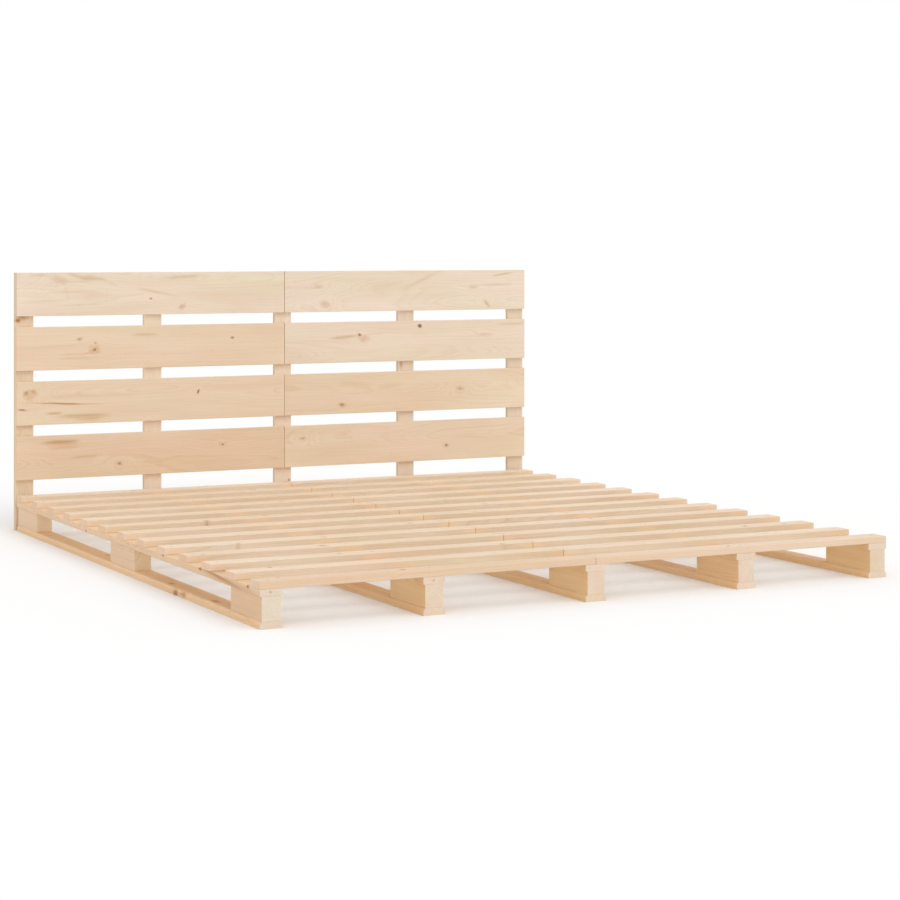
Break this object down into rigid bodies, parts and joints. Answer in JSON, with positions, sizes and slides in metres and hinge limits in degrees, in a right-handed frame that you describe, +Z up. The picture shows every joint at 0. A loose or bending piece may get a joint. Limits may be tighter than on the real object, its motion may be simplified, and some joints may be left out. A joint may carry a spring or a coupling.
{
  "type": "slatted bed frame with headboard",
  "caption": "Low pine bed frame for a wide mattress: runners of boards and blocks carry half-width slats, and a slotted headboard is bolted on behind.",
  "frame": {"origin": "on the floor, under the middle of the whole frame's box", "axes": "+X across the bed to the right as seen from the foot end, +Y from the foot end to the headboard, +Z up"},
  "size_m": [1.855, 2.086, 0.825],
  "materials": {
    "pine_headboard_boards": "planed pine, uncoated",
    "pine_posts": "planed pine, uncoated",
    "pine_slats": "planed pine, uncoated",
    "pine_runners": "planed pine, uncoated",
    "zinc_plated_steel": "bright zinc plating",
    "bare_steel": "turned steel"
  },
  "bodies": {
    "root": {"bolt_washers": "zinc_plated_steel", "cross_nuts": "bare_steel", "headboard_board_1_left": "pine_headboard_boards", "headboard_board_1_right": "pine_headboard_boards", "headboard_board_2_left": "pine_headboard_boards", "headboard_board_2_right": "pine_headboard_boards", "headboard_board_3_left": "pine_headboard_boards", "headboard_board_3_right": "pine_headboard_boards", "headboard_board_4_left": "pine_headboard_boards", "headboard_board_4_right": "pine_headboard_boards", "headboard_bolts": "zinc_plated_steel", "headboard_post_left": "pine_posts", "headboard_post_mid_left": "pine_posts", "headboard_post_mid_right": "pine_posts", "headboard_post_middle": "pine_posts", "headboard_post_right": "pine_posts", "headboard_spacers": "pine_posts", "runner_blocks_left": "pine_runners", "runner_blocks_mid_left": "pine_runners", "runner_blocks_mid_right": "pine_runners", "runner_blocks_middle": "pine_runners", "runner_blocks_right": "pine_runners", "runner_bottom_board_left": "pine_runners", "runner_bottom_board_mid_left": "pine_runners", "runner_bottom_board_mid_right": "pine_runners", "runner_bottom_board_middle": "pine_runners", "runner_bottom_board_right": "pine_runners", "runner_top_board_left": "pine_runners", "runner_top_board_mid_left": "pine_runners", "runner_top_board_mid_right": "pine_runners", "runner_top_board_middle": "pine_runners", "runner_top_board_right": "pine_runners", "slat_01_left": "pine_slats", "slat_01_right": "pine_slats", "slat_02_left": "pine_slats", "slat_02_right": "pine_slats", "slat_03_left": "pine_slats", "slat_03_right": "pine_slats", "slat_04_left": "pine_slats", "slat_04_right": "pine_slats", "slat_05_left": "pine_slats", "slat_05_right": "pine_slats", "slat_06_left": "pine_slats", "slat_06_right": "pine_slats", "slat_07_left": "pine_slats", "slat_07_right": "pine_slats", "slat_08_left": "pine_slats", "slat_08_right": "pine_slats", "slat_09_left": "pine_slats", "slat_09_right": "pine_slats", "slat_10_left": "pine_slats", "slat_10_right": "pine_slats", "slat_11_left": "pine_slats", "slat_11_right": "pine_slats", "slat_12_left": "pine_slats", "slat_12_right": "pine_slats", "slat_13_left": "pine_slats", "slat_13_right": "pine_slats"}
  },
  "joints": []
}
